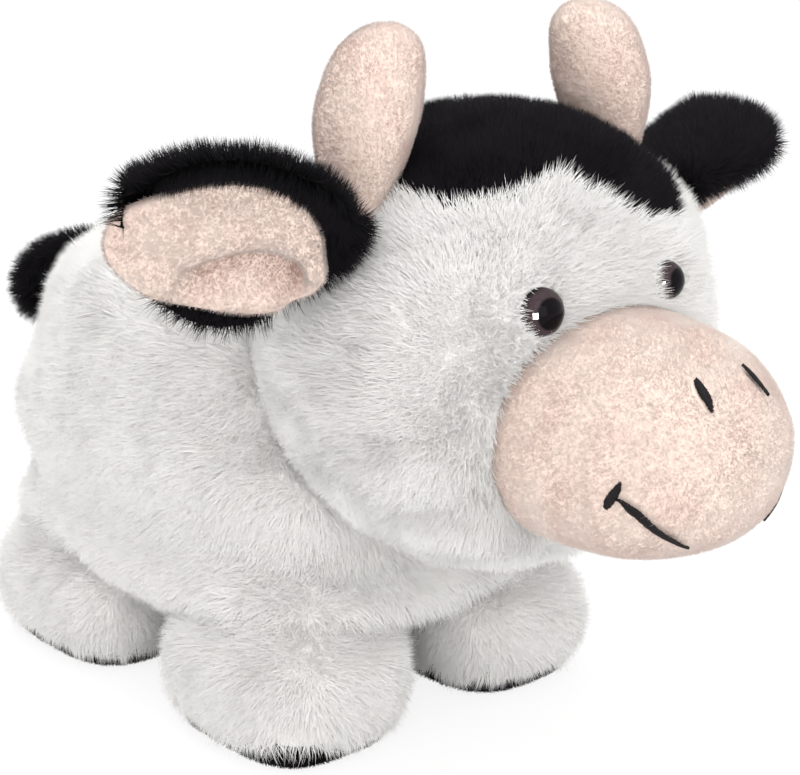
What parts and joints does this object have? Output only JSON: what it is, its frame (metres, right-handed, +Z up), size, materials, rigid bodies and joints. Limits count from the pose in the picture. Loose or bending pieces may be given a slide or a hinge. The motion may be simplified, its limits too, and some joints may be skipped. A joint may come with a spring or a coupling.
{
  "type": "plush cow",
  "caption": "Stuffed toy cow with a round head that turns and nods, a pink muzzle and horns, cupped swinging ears, a wagging hook tail and short boot-like legs.",
  "frame": {"origin": "on the floor, below the middle of the bounding box", "axes": "+X to the cow's left side, -Y the way it looks, +Z up; the hook of the tail and the turn of the left ear are the only things that differ from side to side, with the border of the crown patch"},
  "size_m": [0.2042, 0.2826, 0.191],
  "materials": {
    "plush_white": "long standing pile",
    "plush_black": "long standing pile",
    "plush_pink": "short pile",
    "plush_sole": "short pile",
    "stuffing": "loose polyester fibre",
    "thread": "satin stitch",
    "eye_plastic": "polished",
    "washer_plastic": "moulded"
  },
  "bodies": {
    "torso": {"body_cover": "plush_white", "body_stuffing": "stuffing"},
    "neck": {"neck_stuffing": "stuffing"},
    "head": {"head_cover": "plush_white", "crown_patch": "plush_black", "head_stuffing": "stuffing", "muzzle_cover": "plush_pink", "horn_cover_right": "plush_pink", "horn_stuffing_right": "stuffing", "eye_right": "eye_plastic", "eye_washer_right": "washer_plastic", "nostril_stitch_right": "thread", "mouth_stitch_right": "thread", "horn_cover_left": "plush_pink", "horn_stuffing_left": "stuffing", "eye_left": "eye_plastic", "eye_washer_left": "washer_plastic", "nostril_stitch_left": "thread", "mouth_stitch_left": "thread"},
    "ear_right": {"ear_back_right": "plush_black", "ear_lining_right": "plush_pink"},
    "ear_left": {"ear_back_left": "plush_black", "ear_lining_left": "plush_pink"},
    "tail": {"tail": "plush_black"},
    "leg_front_right": {"leg_cover_front_right": "plush_white", "leg_stuffing_front_right": "stuffing", "sole_front_right": "plush_sole"},
    "leg_rear_right": {"leg_cover_rear_right": "plush_white", "leg_stuffing_rear_right": "stuffing", "sole_rear_right": "plush_sole"},
    "leg_front_left": {"leg_cover_front_left": "plush_white", "leg_stuffing_front_left": "stuffing", "sole_front_left": "plush_sole"},
    "leg_rear_left": {"leg_cover_rear_left": "plush_white", "leg_stuffing_rear_left": "stuffing", "sole_rear_left": "plush_sole"}
  },
  "joints": [
    {"name": "neck_turn", "type": "hinge", "parent": "torso", "child": "neck", "pos_m": [0, -0.05434, 0.112], "axis": [0, 0, 1], "range_deg": [-15, 15], "stiffness_Nm_per_rad": 0.3},
    {"name": "neck_nod", "type": "hinge", "parent": "neck", "child": "head", "pos_m": [0, -0.05434, 0.112], "axis": [1, 0, 0], "range_deg": [-12, 12], "stiffness_Nm_per_rad": 0.4},
    {"name": "ear_swing_right", "type": "hinge", "parent": "head", "child": "ear_right", "pos_m": [-0.054, -0.06584, 0.144], "axis": [-0.036, -0.6291, 0.7764], "range_deg": [-20, 20], "stiffness_Nm_per_rad": 0.02},
    {"name": "ear_swing_left", "type": "hinge", "parent": "head", "child": "ear_left", "pos_m": [0.054, -0.06584, 0.144], "axis": [0.3894, -0.5258, 0.7562], "range_deg": [-20, 20], "stiffness_Nm_per_rad": 0.02},
    {"name": "tail_wag", "type": "hinge", "parent": "torso", "child": "tail", "pos_m": [0, 0.10706, 0.10521], "axis": [0, 0, 1], "range_deg": [-30, 30], "stiffness_Nm_per_rad": 0.02},
    {"name": "leg_swing_front_right", "type": "hinge", "parent": "torso", "child": "leg_front_right", "pos_m": [-0.0335, -0.01234, 0.034], "axis": [1, 0, 0], "range_deg": [-10, 10], "stiffness_Nm_per_rad": 0.2},
    {"name": "leg_swing_rear_right", "type": "hinge", "parent": "torso", "child": "leg_rear_right", "pos_m": [-0.0335, 0.06966, 0.034], "axis": [1, 0, 0], "range_deg": [-10, 10], "stiffness_Nm_per_rad": 0.2},
    {"name": "leg_swing_front_left", "type": "hinge", "parent": "torso", "child": "leg_front_left", "pos_m": [0.0335, -0.01234, 0.034], "axis": [1, 0, 0], "range_deg": [-10, 10], "stiffness_Nm_per_rad": 0.2},
    {"name": "leg_swing_rear_left", "type": "hinge", "parent": "torso", "child": "leg_rear_left", "pos_m": [0.0335, 0.06966, 0.034], "axis": [1, 0, 0], "range_deg": [-10, 10], "stiffness_Nm_per_rad": 0.2}
  ]
}
